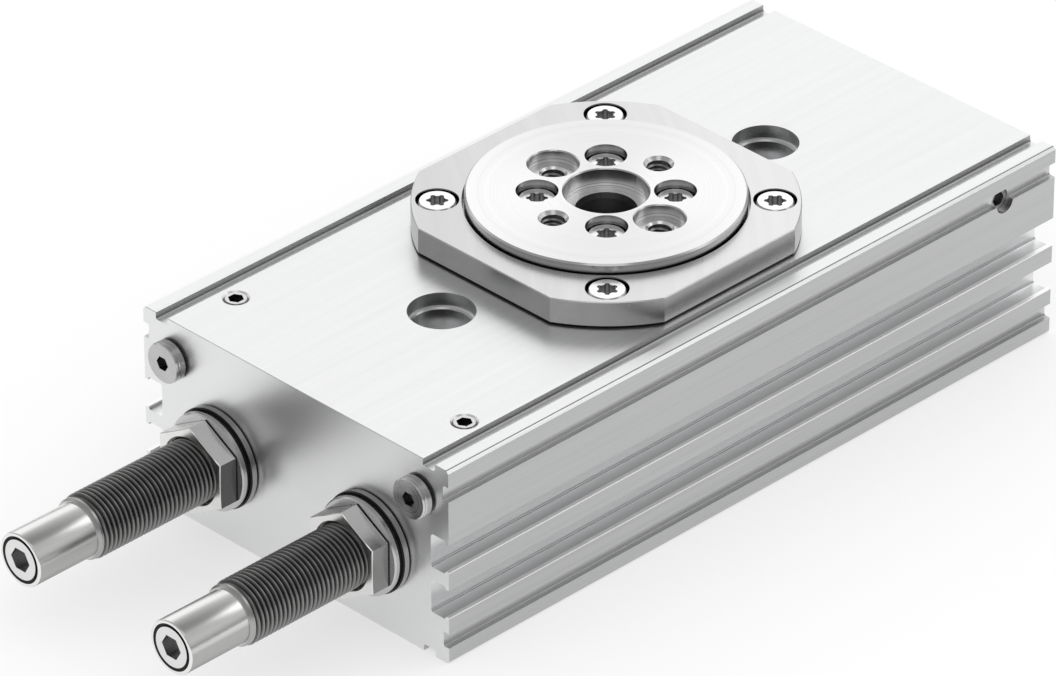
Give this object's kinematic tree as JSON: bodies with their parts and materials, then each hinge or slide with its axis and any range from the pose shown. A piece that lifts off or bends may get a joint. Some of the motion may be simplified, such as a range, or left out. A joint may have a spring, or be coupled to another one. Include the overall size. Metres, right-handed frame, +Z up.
{
  "type": "semi-rotary actuator",
  "caption": "Flat pneumatic semi-rotary actuator: twin piston racks turn a hollow output flange, with adjustable screw-in shock absorbers and sensor slots.",
  "frame": {"origin": "on the flange axis, in the plane of the underside, midway between the two body fixing holes", "axes": "+Z up along the flange axis, out of the output flange; +X along the housing, away from the shock absorbers; +Y to the left seen from the absorber end"},
  "size_m": [0.1961, 0.0746, 0.0454],
  "materials": {
    "housing": "natural anodised extrusion, brushed along its length",
    "plate": "ground",
    "flange": "fine turned",
    "screws": "bright plated",
    "small_screws": "plain steel",
    "sleeve": "threaded dark steel with a ground end",
    "absorber_end": "turned",
    "nut": "plated",
    "rings": "turned",
    "port_plug": "turned",
    "seal": "matt",
    "inner_steel": "ground",
    "bearing_steel": "polished",
    "bearing_cage": "moulded",
    "guide": "moulded",
    "magnet": "sintered",
    "cover": "turned",
    "spring_steel": "phosphated"
  },
  "bodies": {
    "body": {"housing": "housing", "bearing_plate": "plate", "dust_seal": "seal", "plate_screws": "screws", "top_set_screws": "small_screws", "side_set_screws": "small_screws", "upper_bearing_outer_ring": "bearing_steel", "lower_bearing_outer_ring": "bearing_steel", "seat_ring_left": "rings", "sealing_ring_left": "seal", "washer_left": "rings", "lock_nut_left": "nut", "port_plug_left": "port_plug", "plug_ring_left": "seal", "rear_cover_left": "cover", "cover_ring_left": "seal", "circlip_left": "spring_steel", "seat_ring_right": "rings", "sealing_ring_right": "seal", "washer_right": "rings", "lock_nut_right": "nut", "port_plug_right": "port_plug", "plug_ring_right": "seal", "rear_cover_right": "cover", "cover_ring_right": "seal", "circlip_right": "spring_steel"},
    "output": {"output_flange": "flange", "flange_screws": "screws", "pinion_shaft": "inner_steel", "upper_bearing_inner_ring": "bearing_steel", "lower_bearing_inner_ring": "bearing_steel"},
    "upper_ball_set": {"upper_bearing_balls": "bearing_steel", "upper_bearing_cage": "bearing_cage"},
    "lower_ball_set": {"lower_bearing_balls": "bearing_steel", "lower_bearing_cage": "bearing_cage"},
    "piston_left": {"piston_rack_left": "inner_steel", "piston_seals_left": "seal", "guide_rings_left": "guide", "magnet_ring_left": "magnet"},
    "absorber_left": {"absorber_sleeve_left": "sleeve", "absorber_cartridge_left": "inner_steel", "end_plug_left": "absorber_end", "end_ring_left": "seal"},
    "plunger_left": {"absorber_plunger_left": "inner_steel"},
    "piston_right": {"piston_rack_right": "inner_steel", "piston_seals_right": "seal", "guide_rings_right": "guide", "magnet_ring_right": "magnet"},
    "absorber_right": {"absorber_sleeve_right": "sleeve", "absorber_cartridge_right": "inner_steel", "end_plug_right": "absorber_end", "end_ring_right": "seal"},
    "plunger_right": {"absorber_plunger_right": "inner_steel"}
  },
  "joints": [
    {"name": "flange_turn", "type": "hinge", "parent": "body", "child": "output", "pos_m": [0, 0, 0], "axis": [0, 0, 1], "range_deg": [-90, 90]},
    {"name": "upper_balls_turn", "type": "hinge", "parent": "body", "child": "upper_ball_set", "pos_m": [0, 0, 0], "axis": [0, 0, 1], "range_deg": [-45, 45]},
    {"name": "lower_balls_turn", "type": "hinge", "parent": "body", "child": "lower_ball_set", "pos_m": [0, 0, 0], "axis": [0, 0, 1], "range_deg": [-45, 45]},
    {"name": "piston_left_slide", "type": "slide", "parent": "body", "child": "piston_left", "axis": [1, 0, 0], "range_m": [-0.0158, 0.0158]},
    {"name": "piston_right_slide", "type": "slide", "parent": "body", "child": "piston_right", "axis": [1, 0, 0], "range_m": [-0.0158, 0.0158]},
    {"name": "absorber_left_adjust", "type": "slide", "parent": "body", "child": "absorber_left", "axis": [-1, 0, 0], "range_m": [0, 0.006]},
    {"name": "plunger_left_stroke", "type": "slide", "parent": "absorber_left", "child": "plunger_left", "axis": [-1, 0, 0], "range_m": [0, 0.004], "stiffness_N_per_m": 400},
    {"name": "absorber_right_adjust", "type": "slide", "parent": "body", "child": "absorber_right", "axis": [-1, 0, 0], "range_m": [0, 0.006]},
    {"name": "plunger_right_stroke", "type": "slide", "parent": "absorber_right", "child": "plunger_right", "axis": [-1, 0, 0], "range_m": [0, 0.004], "stiffness_N_per_m": 400}
  ],
  "couplings": [
    {"joint": "upper_balls_turn", "follows": "flange_turn", "ratio": 0.461},
    {"joint": "lower_balls_turn", "follows": "flange_turn", "ratio": 0.4556},
    {"joint": "piston_left_slide", "follows": "flange_turn", "m_per_rad": -0.01},
    {"joint": "piston_right_slide", "follows": "flange_turn", "m_per_rad": 0.01}
  ]
}
